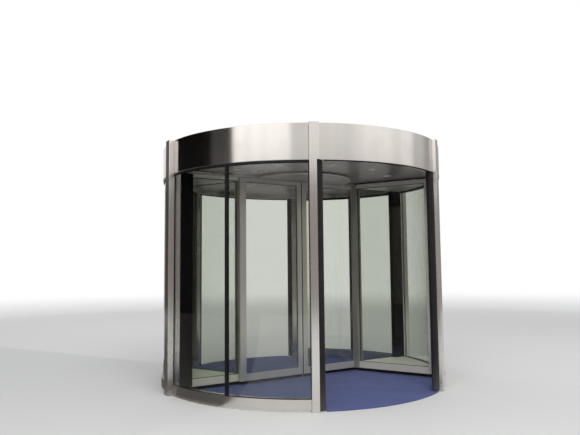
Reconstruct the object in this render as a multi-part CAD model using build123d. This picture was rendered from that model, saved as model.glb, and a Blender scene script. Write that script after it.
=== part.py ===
from build123d import *
import os
from math import asin, atan2, cos, degrees, radians, sin, sqrt

# A two-wing automatic revolving door. The round drum carries curved side walls, a flat
# canopy and four portal posts. The rotor has a triangular showcase at each end of its
# centre line, and a pair of sliding leaves between the two showcases.
# Millimetres, +Z up. The origin is on the floor at the drum axis. The rotor's centre line
# runs along X at rest, people walk through along Y, and the rotor turns about +Z.

# Drum
drum_radius = 1800.0
wall_depth = 90.0
clear_height = 2540.0
canopy_height = 390.0
ceiling_rise = 60.0
plinth_height = 120.0
mat_thickness = 8.0

# Drum posts and walls
portal_post_angle = 29.0
portal_post_width = 80.0
portal_post_proud = 40.0
portal_head_extra = 25.0
post_edge_radius = 6.0
post_foot_plate = 8.0
facade_post_width = 110.0
facade_post_proud = 60.0
facade_joint_start = 60.0
facade_joint_width = 22.0
facade_joint_depth = 14.0
mullion_width = 28.0
mullion_depth = 44.0
side_glass_thickness = 12.0
side_glass_setback = 22.0
sheet = 3.0

# Rubber safety profile of the portal posts
safety_strip_width = 65.0
safety_strip_inset = 2.0
safety_flank_length = 26.0
safety_flank_taper = 6.0
safety_chamber_radius = 13.0
safety_chamber_spread = 38.0

# Glazing
groove_depth = 15.0
groove_play = 2.0
rebate_depth = 8.0
pane_edge_gap = 3.0
plinth_top_plate = 18.0
mullion_web = 10.0
head_rail_roof = 8.0
head_rail_height = 20.0
head_rail_setback = 5.0
head_rail_depth = 50.0

# Canopy
fascia_skin = 4.0
fascia_fold_radius = 5.0
fascia_top_flange = 34.0
ceiling_thickness = 12.0
ceiling_bearing_width = 40.0
roof_thickness = 12.0
roof_drop = 18.0
ring_beam_width = 60.0
ring_beam_height = 140.0
ring_beam_wall = 5.0
cross_beam_width = 80.0
cross_beam_height = 120.0
hanger_plate_radius = 220.0
hanger_plate_thickness = 25.0

# Downlights
downlight_count = 12
downlight_ring_radius = 1150.0
downlight_radius = 45.0
downlight_flange = 8.0
downlight_height = 50.0
downlight_wall = 2.0
downlight_rim = 6.0
downlight_flare = 6.0
lens_recess = 10.0
lens_thickness = 3.0

# Rotor
running_gap = 8.0
seal_gap = 6.0
seat_gap = 0.3
vertex_distance = 875.0
branch_angle = 64.0
frame_thickness = 40.0
case_glass_thickness = 8.0
rail_bottom = 50.0
rail_height = 85.0
top_rail_height = 55.0
rotor_top_gap = 20.0
jamb_post_width = 85.0
jamb_post_depth = 60.0
branch_stile_width = 75.0
nose_width = 180.0
nose_depth = 65.0
nose_chamber_radius = 18.0
nose_chamber_spread = 54.0
tray_rim = 34.0
tray_recess = 14.0
tray_plate = 4.0
board_thickness = 10.0
brush_thickness = 12.0
brush_inset = 14.0

# Hub and drive shaft
hub_radius = 660.0
hub_thickness = 28.0
hub_edge = 3.0
shaft_radius = 60.0
collar_radius = 85.0
collar_height = 12.0
bearing_radius = 150.0
bearing_height = 50.0

# Sliding leaves
leaf_thickness = 40.0
leaf_stile_width = 65.0
leaf_rear_stile_width = 85.0
leaf_top_rail = 48.0
leaf_glass_thickness = 10.0
leaf_seal_depth = 5.0
leaf_seal_width = 24.0
slide_gap = 8.0
meeting_gap = 6.0
track_width = 56.0
track_cavity = 44.0
track_slit = 14.0
track_lip = 4.0
track_roof = 4.0
roller_radius = 9.0
roller_width = 8.0
roller_spread = 28.0
axle_radius = 3.0
hanger_thickness = 8.0
hanger_width = 70.0
hanger_wheelbase = 46.0
hanger_inset = 130.0

# Derived levels and radii
canopy_underside = clear_height
canopy_top = clear_height + canopy_height
ceiling_height = clear_height + ceiling_rise
wall_inner = drum_radius - wall_depth
rotor_radius = wall_inner - running_gap
seal_radius = wall_inner - seal_gap
pane_outer = drum_radius - side_glass_setback
pane_inner = pane_outer - side_glass_thickness
groove_inner = pane_inner - groove_play
groove_outer = pane_outer + groove_play
head_rail_bottom = canopy_underside - head_rail_height
rotor_top = ceiling_height - rotor_top_gap
rail_top = rail_bottom + rail_height
case_top = rotor_top - top_rail_height
brush_bottom = mat_thickness + seal_gap
brush_top = ceiling_height - seal_gap
hub_bottom = brush_top - hub_thickness
leaf_top = hub_bottom - seal_gap
spine_face = leaf_thickness / 2 + slide_gap
ring_beam_top = canopy_top - roof_drop - roof_thickness
ring_beam_bottom = ring_beam_top - ring_beam_height
ring_beam_middle = ring_beam_bottom + ring_beam_height / 2
post_front = drum_radius + portal_post_proud


def angle_of(offset, radius):
    """Angle at the drum axis of a point this far to the side at this radius."""
    return degrees(asin(offset / radius))


post_direction = 90.0 - portal_post_angle
wall_start = angle_of(facade_post_width / 2, wall_inner)
wall_end = post_direction - angle_of(portal_post_width / 2, wall_inner)
wall_middle = (wall_start + wall_end) / 2
head_end = post_direction + angle_of(portal_post_width / 2 + portal_head_extra, wall_inner)
strip_end = post_direction + angle_of(portal_post_width / 2 + safety_strip_width, wall_inner)


def plan_box(x_low, x_high, y_low, y_high):
    """Rectangle between two X and two Y values, or two radii and two heights."""
    middle = Pos((x_low + x_high) / 2, (y_low + y_high) / 2)
    return middle * Rectangle(x_high - x_low, y_high - y_low)


def rounded_box(x_low, x_high, y_low, y_high, radius):
    """Rectangle with rounded corners."""
    return fillet(plan_box(x_low, x_high, y_low, y_high).vertices(), radius)


def upright(face, bottom, top):
    """Extrude a plan face from one height to another."""
    return extrude(Pos(0, 0, bottom) * face, amount=top - bottom, dir=(0, 0, 1))


def ring_sector(inner, outer, start, end):
    """Plan face between two radii and two angles."""
    outer_arc = CenterArc((0, 0), outer, start, end - start)
    inner_arc = CenterArc((0, 0), inner, start, end - start)
    near_side = Line(inner_arc @ 0, outer_arc @ 0)
    far_side = Line(inner_arc @ 1, outer_arc @ 1)
    return make_face([outer_arc, far_side, inner_arc, near_side])


def turned(section, start, end):
    """Revolve a face drawn in radius and height about the drum axis between two angles."""
    standing = Plane.XZ * section
    return revolve(Rot(0, 0, start) * standing, axis=Axis.Z, revolution_arc=end - start)


def half_turn(shape):
    return Rot(0, 0, 180) * shape


def mirrored_x(shape):
    return mirror(shape, about=Plane.YZ)


def mirrored_y(shape):
    return mirror(shape, about=Plane.XZ)


def unchanged(shape):
    return shape


# The four quarters of the drum, each made from the one with positive X and Y
quarters = {
    "rear_right": unchanged,
    "front_right": mirrored_y,
    "rear_left": mirrored_x,
    "front_left": half_turn,
}

# The two ends of the rotor, and the same two places as a list
sides = {"right": unchanged, "left": half_turn}
opposite = list(sides.values())


# Portal posts
def portal_post():
    """Folded post that stands proud of the drum, wider over the canopy's height."""
    half = portal_post_width / 2
    wide = half + portal_head_extra
    bend = post_edge_radius - sheet
    outer = rounded_box(wall_inner, post_front, -half, half, post_edge_radius)
    hollow = rounded_box(wall_inner + sheet, post_front - sheet, -half + sheet, half - sheet, bend)
    head_outer = rounded_box(wall_inner, post_front, -half, wide, post_edge_radius)
    head_hollow = rounded_box(
        wall_inner + sheet, post_front - sheet, -half + sheet, wide - sheet, bend
    )
    post = upright(outer, 0, post_foot_plate)
    post += upright(outer - hollow, post_foot_plate, canopy_underside)
    post += upright(head_outer - hollow, canopy_underside, canopy_underside + sheet)
    post += upright(head_outer - head_hollow, canopy_underside + sheet, canopy_top - sheet)
    post += upright(head_outer, canopy_top - sheet, canopy_top)
    return Rot(0, 0, post_direction) * post


def safety_strip():
    """Rubber profile with two air chambers on the opening side of a portal post."""
    root = portal_post_width / 2
    flank = root + safety_flank_length
    tip = root + safety_strip_width
    low = wall_inner + safety_strip_inset
    high = drum_radius - safety_strip_inset
    middle = (low + high) / 2
    near = (low + safety_flank_taper, flank)
    far = (high - safety_flank_taper, flank)
    base = Polyline(near, (low, root), (high, root), far)
    nose = ThreePointArc(far, (middle, tip), near)
    profile = make_face([base, nose])
    for side in (-1, 1):
        place = Pos(middle + side * safety_chamber_spread / 2, flank - safety_chamber_radius / 2)
        profile -= place * Circle(safety_chamber_radius)
    strip = upright(profile, brush_bottom, canopy_underside)
    return Rot(0, 0, post_direction) * strip


# Facade posts
def facade_post():
    """Tube beside the curved walls, with a shadow joint in both faces, on the positive X side."""
    half = facade_post_width / 2
    front = drum_radius + facade_post_proud
    bend = post_edge_radius - sheet
    outer = rounded_box(wall_inner, front, -half, half, post_edge_radius)
    hollow = rounded_box(wall_inner + sheet, front - sheet, -half + sheet, half - sheet, bend)
    joint_low = wall_inner + facade_joint_start
    joint_high = joint_low + facade_joint_width
    joint_floor = half - facade_joint_depth
    for low, high in ((joint_floor, half + 1), (-half - 1, -joint_floor)):
        outer -= plan_box(joint_low, joint_high, low, high)
    for low, high in ((joint_floor - sheet, half), (-half, -joint_floor + sheet)):
        hollow -= plan_box(joint_low - sheet, joint_high + sheet, low, high)
    post = upright(outer, 0, post_foot_plate)
    post += upright(outer - hollow, post_foot_plate, canopy_top - sheet)
    return post + upright(outer, canopy_top - sheet, canopy_top)


# Curved side walls
def plinth():
    """Curved sheet box with closed ends and a groove for the glass in its top."""
    casing = turned(plan_box(wall_inner, drum_radius, 0, plinth_height), wall_start, wall_end)
    hollow = plan_box(
        wall_inner + sheet, drum_radius - sheet, sheet, plinth_height - plinth_top_plate
    )
    end_wall = degrees(sheet / wall_inner)
    casing -= turned(hollow, wall_start + end_wall, wall_end - end_wall)
    groove = plan_box(groove_inner, groove_outer, plinth_height - groove_depth, plinth_height + 1)
    return casing - turned(groove, wall_start - 1, wall_end + 1)


def head_rail():
    """Curved dark rail between the side glass and the canopy."""
    outer = drum_radius - head_rail_setback
    rail = plan_box(outer - head_rail_depth, outer, head_rail_bottom, canopy_underside)
    groove_top = canopy_underside - head_rail_roof
    groove = plan_box(groove_inner, groove_outer, head_rail_bottom - 1, groove_top)
    body = turned(rail, wall_start, wall_end)
    return body - turned(groove, wall_start - 1, wall_end + 1)


def mullion():
    """Dark upright between two panes, with a groove in each flank."""
    half = mullion_width / 2
    bar = plan_box(drum_radius - mullion_depth, drum_radius, -half, half)
    for low, high in ((mullion_web / 2, half + 1), (-half - 1, -mullion_web / 2)):
        bar -= plan_box(groove_inner, groove_outer, low, high)
    return Rot(0, 0, wall_middle) * upright(bar, plinth_height, head_rail_bottom)


def side_panes():
    """The two curved panes of one quarter."""
    bottom = plinth_height - groove_depth
    top = canopy_underside - head_rail_roof - pane_edge_gap
    edge = degrees(pane_edge_gap / pane_inner)
    web = degrees((mullion_web / 2 + pane_edge_gap) / pane_inner)
    spans = ((wall_start + edge, wall_middle - web), (wall_middle + web, wall_end - edge))
    return [upright(ring_sector(pane_inner, pane_outer, *span), bottom, top) for span in spans]


# Canopy
def fascia_section():
    """Folded sheet with a soffit flange, a riser that carries the ceiling and a top flange."""
    skin = fascia_skin
    outline = Polyline(
        (drum_radius, canopy_underside),
        (drum_radius, canopy_top),
        (drum_radius - fascia_top_flange, canopy_top),
        (drum_radius - fascia_top_flange, canopy_top - skin),
        (drum_radius - skin, canopy_top - skin),
        (drum_radius - skin, canopy_underside + skin),
        (wall_inner + skin, canopy_underside + skin),
        (wall_inner + skin, ceiling_height),
        (wall_inner, ceiling_height),
        (wall_inner, canopy_underside),
        close=True,
    )
    section = make_face(outline)
    folds = [(drum_radius, canopy_underside), (drum_radius, canopy_top)]
    for corner in folds:
        nearest = section.vertices().sort_by_distance((*corner, 0))[0]
        section = fillet(nearest, fascia_fold_radius)
    return section


def fascia(start, end):
    """Length of the fascia between two angles."""
    return turned(fascia_section(), start, end)


def post_plans():
    """Plan of every post where it passes through the canopy."""
    half = portal_post_width / 2
    portal = plan_box(wall_inner, post_front, -half, half + portal_head_extra)
    portal = Rot(0, 0, post_direction) * portal
    facade = plan_box(
        wall_inner, post_front, -facade_post_width / 2, facade_post_width / 2
    )
    plans = [place(portal) for place in quarters.values()]
    return plans + [facade, half_turn(facade)]


def around_posts(disc):
    """Cut the posts out of a round plan face."""
    for plan in post_plans():
        disc -= plan
    return disc


def downlight_places():
    """Centres of the downlights, on one ring in the ceiling."""
    step = 360.0 / downlight_count
    turns = [step * (index + 0.5) for index in range(downlight_count)]
    return [Rot(0, 0, turn) * Pos(downlight_ring_radius, 0) for turn in turns]


def ceiling():
    """Round ceiling panel on the risers, with holes for the shaft and the lights."""
    panel = around_posts(Circle(wall_inner + ceiling_bearing_width))
    panel -= Circle(collar_radius)
    for place in downlight_places():
        panel -= place * Circle(downlight_radius)
    return upright(panel, ceiling_height, ceiling_height + ceiling_thickness)


def downlight_bore(height):
    """Radius of the flared inside of a downlight at a height above its mouth."""
    return downlight_radius - downlight_rim - downlight_flare * height / downlight_height


def downlight():
    """Round can with a flared inside, open below, and a flange under the ceiling."""
    depth = downlight_height - downlight_wall
    can = upright(Circle(downlight_radius - seat_gap), 0, downlight_height)
    can += upright(Circle(downlight_radius + downlight_flange), -downlight_wall, 0)
    corners = [
        (0, -downlight_wall - 1),
        (downlight_bore(-downlight_wall - 1), -downlight_wall - 1),
        (downlight_bore(depth), depth),
        (0, depth),
    ]
    inside = revolve(Plane.XZ * make_face(Polyline(*corners, close=True)), axis=Axis.Z)
    return Pos(0, 0, ceiling_height) * (can - inside)


def downlight_lens():
    """Glass disc set back in a downlight."""
    top = lens_recess + lens_thickness
    disc = upright(Circle(downlight_bore(top) - seat_gap), lens_recess, top)
    return Pos(0, 0, ceiling_height) * disc


def canopy_frame():
    """Hollow ring beam with two crossed beams and the plate that carries the bearing."""
    inner = wall_inner - ring_beam_width
    ring = plan_box(inner, wall_inner, ring_beam_bottom, ring_beam_top)
    void = plan_box(
        inner + ring_beam_wall,
        wall_inner - ring_beam_wall,
        ring_beam_bottom + ring_beam_wall,
        ring_beam_top - ring_beam_wall,
    )
    frame = turned(ring, 0, 360) - turned(void, 0, 360)
    half = cross_beam_width / 2
    low = ring_beam_middle - cross_beam_height / 2
    for turn in (0, 90):
        beam = plan_box(-inner, inner, -half, half)
        hollow = plan_box(-inner, inner, -half + ring_beam_wall, half - ring_beam_wall)
        body = upright(beam, low, low + cross_beam_height)
        body -= upright(hollow, low + ring_beam_wall, low + cross_beam_height - ring_beam_wall)
        frame += Rot(0, 0, turn) * body
    plate = Circle(hanger_plate_radius) - Circle(collar_radius + running_gap)
    frame += upright(plate, low - hanger_plate_thickness, low)
    return frame - upright(Circle(collar_radius + running_gap), low, low + cross_beam_height)


bearing_top = ring_beam_middle - cross_beam_height / 2 - hanger_plate_thickness


def bearing():
    """Fixed bearing ring under the hanger plate."""
    ring = Circle(bearing_radius) - Circle(shaft_radius + seat_gap)
    return upright(ring, bearing_top - bearing_height, bearing_top)


def canopy_roof():
    """Round dust cover on the ring beam."""
    panel = around_posts(Circle(drum_radius - fascia_skin))
    return upright(panel, ring_beam_top, ring_beam_top + roof_thickness)


def floor_mat():
    """Round mat inside the drum, out to the drum line in both doorways."""
    mat = Circle(wall_inner - seat_gap)
    doorway = ring_sector(wall_inner - 1, drum_radius, strip_end, 180 - strip_end)
    mat += doorway
    mat += half_turn(doorway)
    return upright(mat, 0, mat_thickness)


# Wings of the rotor, made on the positive X side
branch_x = cos(radians(branch_angle))
branch_y = -sin(radians(branch_angle))


def branch_point(along, aside):
    """Point beside the branch's centre line, measured from the vertex."""
    x = vertex_distance + along * branch_x + aside * branch_y
    y = -spine_face + along * branch_y - aside * branch_x
    return (x, y)


def branch_reach(aside, radius):
    """Distance along the branch at which it meets this radius."""
    base_x, base_y = branch_point(0, aside)
    slope = base_x * branch_x + base_y * branch_y
    rest = base_x**2 + base_y**2 - radius**2
    return -slope + sqrt(slope**2 - rest)


def branch_plan(start, end, low, high):
    """Rectangle in plan along the branch."""
    corners = [(start, low), (end, low), (end, high), (start, high)]
    return make_face(Polyline(*[branch_point(*corner) for corner in corners], close=True))


def wing_outline(inset):
    """Plan of a wing: spine side, drum side and branch side, all moved inwards by an inset."""
    face_y = -(spine_face + inset)
    radius = rotor_radius - inset
    aside = frame_thickness / 2 - inset
    base_y = branch_point(0, aside)[1]
    corner = branch_point((face_y - base_y) / branch_y, aside)
    tip = branch_point(branch_reach(aside, radius), aside)
    spine_end = (sqrt(radius**2 - face_y**2), face_y)
    start = degrees(atan2(spine_end[1], spine_end[0]))
    span = degrees(atan2(tip[1], tip[0])) - start
    drum_side = CenterArc((0, 0), radius, start, span)
    return make_face([Line(corner, spine_end), drum_side, Line(tip, corner)])


def jamb_plan():
    """Slanted plan of the post at a wing's vertex."""
    half = jamb_post_width / 2
    step_x = jamb_post_depth * branch_x
    step_y = jamb_post_depth * branch_y
    near = (vertex_distance - half, -spine_face)
    far = (vertex_distance + half, -spine_face)
    corners = [near, far, (far[0] + step_x, far[1] + step_y), (near[0] + step_x, near[1] + step_y)]
    return make_face(Polyline(*corners, close=True))


branch_length = branch_reach(0, rotor_radius)


def branch_end_plan():
    """Plan of the branch's last stretch, from the stile's inner edge past the drum side."""
    half = frame_thickness / 2
    return branch_plan(branch_length - branch_stile_width, branch_length + half, -half, half)


def branch_stile_plan():
    """Plan of the stile at the drum end of the branch."""
    return branch_end_plan() & Circle(rotor_radius - running_gap)


def nose_plan():
    """Plan of the rubber edge at the spine end."""
    reach = sqrt(rotor_radius**2 - spine_face**2)
    block = plan_box(reach - nose_width, reach + running_gap, -spine_face - nose_depth, -spine_face)
    return block & Circle(seal_radius)


def clear_of_uprights(face):
    """Cut a wing's uprights out of a plan face."""
    return face - jamb_plan() - branch_end_plan() - nose_plan()


def glazing_groove(bottom, top):
    """Groove for the panes along the three sides of a wing."""
    outer = (frame_thickness - case_glass_thickness) / 2 - groove_play
    inner = outer + case_glass_thickness + 2 * groove_play
    return upright(clear_of_uprights(wing_outline(outer) - wing_outline(inner)), bottom, top)


def wing_base():
    """Bottom rails and tray of a showcase, closed below."""
    tray = upright(clear_of_uprights(wing_outline(0)), rail_bottom, rail_top)
    tray -= upright(wing_outline(tray_rim), rail_top - tray_recess, rail_top)
    hollow_top = rail_top - tray_recess - tray_plate
    tray -= upright(wing_outline(tray_rim + tray_plate), rail_bottom + tray_plate, hollow_top)
    return tray - glazing_groove(rail_top - rebate_depth, rail_top)


def wing_board():
    """Display board that lies in the tray."""
    low = rail_top - tray_recess
    return upright(clear_of_uprights(wing_outline(tray_rim)), low, low + board_thickness)


def wing_top():
    """Top rails and lid of a showcase, closed above."""
    lid = upright(clear_of_uprights(wing_outline(0)), case_top, rotor_top)
    hollow_bottom = case_top + tray_plate
    lid -= upright(wing_outline(tray_rim + tray_plate), hollow_bottom, rotor_top - tray_plate)
    return lid - glazing_groove(case_top, case_top + rebate_depth)


def jamb_post():
    return upright(jamb_plan(), rail_bottom, rotor_top)


def branch_stile():
    return upright(branch_stile_plan(), rail_bottom, rotor_top)


def nose_rubber():
    """Rubber edge with three air chambers along the drum end of the spine face."""
    profile = nose_plan()
    middle = sqrt(rotor_radius**2 - spine_face**2) - nose_width / 2
    for step in (-1, 0, 1):
        place = Pos(middle + step * nose_chamber_spread, -spine_face - nose_depth / 2)
        profile -= place * Circle(nose_chamber_radius)
    return upright(profile, brush_bottom, brush_top)


def case_panes():
    """Panes of the spine side, the branch side and the curved drum side."""
    half = case_glass_thickness / 2
    inset = frame_thickness / 2 - half
    middle = -spine_face - frame_thickness / 2
    outer = rotor_radius - inset
    spine_pane = plan_box(vertex_distance, rotor_radius, middle - half, middle + half)
    branch_pane = branch_plan(0, branch_length - branch_stile_width, -half, half)
    curved_pane = Circle(outer) - Circle(outer - case_glass_thickness)
    curved_pane &= wing_outline(frame_thickness / 2)
    low = rail_top - rebate_depth
    high = case_top + rebate_depth - pane_edge_gap
    plans = [spine_pane & wing_outline(0), branch_pane & wing_outline(0), curved_pane]
    return [upright(clear_of_uprights(plan), low, high) for plan in plans]


def wing_brushes():
    """Brush skirts below and above the rails, and the brush on the branch's tip."""
    skirt = wing_outline(brush_inset) - wing_outline(brush_inset + brush_thickness)
    skirt -= nose_plan()
    half = brush_thickness / 2
    tip = branch_plan(branch_length - branch_stile_width, branch_length + half, -half, half)
    tip = tip & (Circle(seal_radius) - Circle(rotor_radius - running_gap))
    return [
        upright(skirt, brush_bottom, rail_bottom),
        upright(skirt, rotor_top, brush_top),
        upright(tip, rail_bottom, rotor_top),
    ]


# Hub, shaft and track
def track_void():
    """Space inside the track: a cavity for the rollers and a slit below it."""
    reach = rotor_radius + running_gap
    low = hub_bottom + track_lip
    cavity = plan_box(-reach, reach, -track_cavity / 2, track_cavity / 2)
    slit = plan_box(-reach, reach, -track_slit / 2, track_slit / 2)
    return upright(cavity, low, brush_top - track_roof) + upright(slit, hub_bottom - 1, low)


def hub():
    """Round rotor head with the drive shaft, the collar that hangs it and the track's middle."""
    disc = upright(Circle(hub_radius), hub_bottom, brush_top)
    disc = chamfer(disc.edges().filter_by(GeomType.CIRCLE), hub_edge) - track_void()
    disc += upright(Circle(shaft_radius), brush_top, bearing_top + seat_gap)
    collar_low = bearing_top + seat_gap
    return disc + upright(Circle(collar_radius), collar_low, collar_low + collar_height)


def track_rails():
    """Outer lengths of the track, from the hub to the ends of the spine."""
    reach = sqrt((rotor_radius - running_gap) ** 2 - (track_width / 2) ** 2)
    bar = plan_box(-reach, reach, -track_width / 2, track_width / 2) - Circle(hub_radius)
    return upright(bar, hub_bottom, brush_top) - track_void()


# Sliding leaves, made on the positive X side
leaf_near = meeting_gap / 2 + leaf_seal_depth
leaf_far = vertex_distance + jamb_post_width / 2
leaf_window = (leaf_near + leaf_stile_width, leaf_far - leaf_rear_stile_width)
leaf_window_top = leaf_top - leaf_top_rail


def leaf_frame():
    """Stiles and rails of a sliding leaf, grooved for the pane and for the edge seal."""
    half = leaf_thickness / 2
    near, far = leaf_window
    frame = upright(plan_box(leaf_near, leaf_far, -half, half), rail_bottom, leaf_top)
    frame -= upright(plan_box(near, far, -half, half), rail_top, leaf_window_top)
    play = leaf_glass_thickness / 2 + groove_play
    groove = plan_box(near - rebate_depth, far + rebate_depth, -play, play)
    frame -= upright(groove, rail_top - rebate_depth, leaf_window_top + rebate_depth)
    slot = leaf_seal_width / 2
    seat = plan_box(leaf_near, leaf_near + leaf_seal_depth, -slot, slot)
    return frame - upright(seat, rail_bottom, leaf_top)


def leaf_glass():
    half = leaf_glass_thickness / 2
    edge = rebate_depth - pane_edge_gap
    near, far = leaf_window
    pane = plan_box(near - edge, far + edge, -half, half)
    return upright(pane, rail_top - rebate_depth, leaf_window_top + edge)


def leaf_seals():
    """Brush below a leaf and the rubber nose along its meeting edge."""
    brush_half = brush_thickness / 2
    half = leaf_seal_width / 2 - seat_gap
    root = leaf_near + leaf_seal_depth
    brush = plan_box(root + leaf_seal_depth, leaf_far, -brush_half, brush_half)
    tip = (meeting_gap / 2, 0)
    nose = make_face([Line((root, -half), (root, half)), *nose_sides(root, half, tip)])
    return [
        upright(brush, brush_bottom, rail_bottom),
        upright(nose, rail_bottom, leaf_top),
    ]


def nose_sides(root, half, tip):
    """Flanks and rounded front of the meeting edge's rubber."""
    shoulders = [(leaf_near, half), (leaf_near, -half)]
    return [
        Line((root, half), shoulders[0]),
        ThreePointArc(shoulders[0], tip, shoulders[1]),
        Line(shoulders[1], (root, -half)),
    ]


def leaf_hanger():
    """Hanger plate on a leaf's top rail, with two axles and their rollers in the track."""
    axle_height = hub_bottom + track_lip + seat_gap + roller_radius
    half = hanger_thickness / 2
    plate = plan_box(-hanger_width / 2, hanger_width / 2, -half, half)
    hanger = upright(plate, leaf_top, axle_height + axle_radius + sheet)
    across = Rot(90, 0, 0)
    for place in (-hanger_wheelbase / 2, hanger_wheelbase / 2):
        axle = Pos(place, 0, axle_height) * across
        hanger += axle * Cylinder(axle_radius, roller_spread + roller_width)
        for side in (-1, 1):
            wheel = Pos(0, 0, side * roller_spread / 2) * Cylinder(roller_radius, roller_width)
            hanger += axle * wheel
    return hanger


def leaf_hangers():
    places = (leaf_near + hanger_inset, leaf_far - hanger_inset)
    return [Pos(place, 0, 0) * leaf_hanger() for place in places]


# Writing the parts
def write(name, *solids):
    """Write one node as a STEP file."""
    whole = solids[0] if len(solids) == 1 else Compound(children=list(solids))
    export_step(whole, "parts/" + name + ".step")


def each(places, make):
    """Make a piece, or each of a list of pieces, at several places."""
    made = make()
    pieces = made if isinstance(made, list) else [made]
    return [place(piece) for place in places for piece in pieces]


def write_drum():
    for quarter, place in quarters.items():
        write("portal_post_" + quarter, place(portal_post()))
    for side in ("left", "right"):
        places = [quarters["front_" + side], quarters["rear_" + side]]
        write("plinth_" + side, *each(places, plinth))
        write("side_glass_" + side, *each(places, side_panes))
        write("fascia_" + side, *[place(fascia(wall_start, wall_end)) for place in places])
    everywhere = quarters.values()
    write("safety_strips", *each(everywhere, safety_strip))
    write("mullions", *each(everywhere, mullion))
    write("head_rails", *each(everywhere, head_rail))
    write("facade_posts", *each(opposite, facade_post))
    write("fascia_rear", fascia(head_end, 180 - head_end))
    write("fascia_front", half_turn(fascia(head_end, 180 - head_end)))
    write("ceiling", ceiling())
    write("downlights", *[place * downlight() for place in downlight_places()])
    write("downlight_lenses", *[place * downlight_lens() for place in downlight_places()])
    write("canopy_frame", canopy_frame())
    write("canopy_roof", canopy_roof())
    write("rotor_bearing", bearing())
    write("floor_mat", floor_mat())


def write_rotor():
    write("rotor_hub", hub())
    write("track_rails", *track_rails().solids())
    for side, place in sides.items():
        write("wing_base_" + side, place(wing_base()))
        write("wing_top_" + side, place(wing_top()))
        write("case_glass_" + side, *each([place], case_panes))
    write("jamb_posts", *each(opposite, jamb_post))
    write("branch_stiles", *each(opposite, branch_stile))
    write("nose_rubbers", *each(opposite, nose_rubber))
    write("display_boards", *each(opposite, wing_board))
    write("wing_brushes", *each(opposite, wing_brushes))


def write_leaves():
    for side, place in sides.items():
        write("leaf_frame_" + side, place(leaf_frame()))
        write("leaf_glass_" + side, place(leaf_glass()))
        write("leaf_seals_" + side, *each([place], leaf_seals))
        write("leaf_hangers_" + side, *each([place], leaf_hangers))


os.makedirs("parts", exist_ok=True)
write_drum()
write_rotor()
write_leaves()
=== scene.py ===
from math import cos, degrees, pi, radians, sin

import bmesh
import bpy
from bpy.props import FloatProperty, FloatVectorProperty, PointerProperty
from mathutils import Matrix, Vector


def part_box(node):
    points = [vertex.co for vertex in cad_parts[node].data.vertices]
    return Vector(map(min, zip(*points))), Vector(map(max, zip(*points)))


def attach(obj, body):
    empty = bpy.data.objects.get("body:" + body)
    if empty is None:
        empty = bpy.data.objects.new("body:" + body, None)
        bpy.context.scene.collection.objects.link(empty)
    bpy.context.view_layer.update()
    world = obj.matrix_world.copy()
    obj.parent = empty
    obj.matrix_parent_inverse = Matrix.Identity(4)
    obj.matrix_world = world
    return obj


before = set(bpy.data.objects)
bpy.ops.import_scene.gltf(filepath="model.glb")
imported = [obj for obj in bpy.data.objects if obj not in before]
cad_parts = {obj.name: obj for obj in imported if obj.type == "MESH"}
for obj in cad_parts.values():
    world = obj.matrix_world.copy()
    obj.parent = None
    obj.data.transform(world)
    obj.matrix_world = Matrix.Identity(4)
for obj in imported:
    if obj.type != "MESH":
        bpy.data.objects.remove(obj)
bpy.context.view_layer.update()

bl_info = {
    "name": "Revolving door finish",
    "version": (1, 0, 0),
    "blender": (4, 5, 0),
    "location": "View3D > Sidebar > Door",
    "description": "Finishes, seals, bristles and fixings for a two-wing automatic revolving door",
    "category": "Object",
}

# Levels and radii read from the frame, in metres
DRUM_RADIUS = -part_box("fascia_front")[0].y
CLEAR_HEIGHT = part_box("fascia_front")[0].z
CANOPY_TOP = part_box("fascia_front")[1].z
PLINTH_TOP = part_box("plinth_left")[1].z
HEAD_RAIL_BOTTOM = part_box("head_rails")[0].z
RAIL_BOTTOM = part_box("wing_base_right")[0].z
RAIL_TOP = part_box("wing_base_right")[1].z
CASE_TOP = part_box("wing_top_right")[0].z
ROTOR_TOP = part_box("wing_top_right")[1].z
BRUSH_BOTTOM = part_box("wing_brushes")[0].z
BRUSH_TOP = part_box("wing_brushes")[1].z
HUB_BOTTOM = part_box("rotor_hub")[0].z
HUB_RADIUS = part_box("rotor_hub")[1].x

# Plan of the rotor's right wing, as in the frame, in metres
VERTEX = 0.875
BRANCH_ANGLE = radians(64.0)
SPINE_FACE = 0.028
FRAME_WIDTH = 0.040
CASE_PANE = 0.008
CASE_PANE_RADIUS = 1.686
BRANCH_LENGTH = 1.107
BRANCH_STILE = 0.075
JAMB_DEPTH = 0.060
JAMB_SIDE = 0.929
NOSE_START = 1.522
NOSE_BEARING = radians(3.2)
STILE_BEARING = radians(35.8)
TIP_BEARING = radians(36.6)

# Plan of the drum, as in the frame, in metres
PANE_OUTER = 1.778
PANE_INNER = 1.766
WALL_START = radians(1.773)
WALL_END = radians(59.71)
MULLION_BEARING = radians(30.75)
MULLION_HALF = radians(0.451)
POST_BEARING = radians(61.0)
POST_FACE = 1.840
STRIP_SPAN = radians(3.6)

# Gaskets: wider on the leaves, rounded, and just clear of the jamb
LEAF_GASKET_SHARE = 1.8
GASKET_ROUND = 0.3
JAMB_CLEARANCE = 0.002

# Seal in the right facade post's rear joint: low and high X, low and high Y
JOINT_PLAN = (1.7705, 1.7915, 0.041, 0.051)
JOINT_FOOT = 0.010
JOINT_HEAD = 0.004
LIP_BORDERS = (0.18, 0.12)
LIP_DEPTH = 0.002
LIP_ROUND = 0.001

# Black strip under the fascia, painted shade of the gap there, and the rotor head's rim between
# the ends of the track, with a painted highlight
FASCIA_SHADE_RADIUS = 1.792
FASCIA_SHADE_DEPTH = 0.010
FASCIA_SHADE_HEIGHT = 0.012
TRACK_HALF = 0.045
RIM_DEPTH = 0.004
RIM_LOW = 0.002
RIM_HIGH = 0.016
RIM_ROUND = 0.0012

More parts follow.
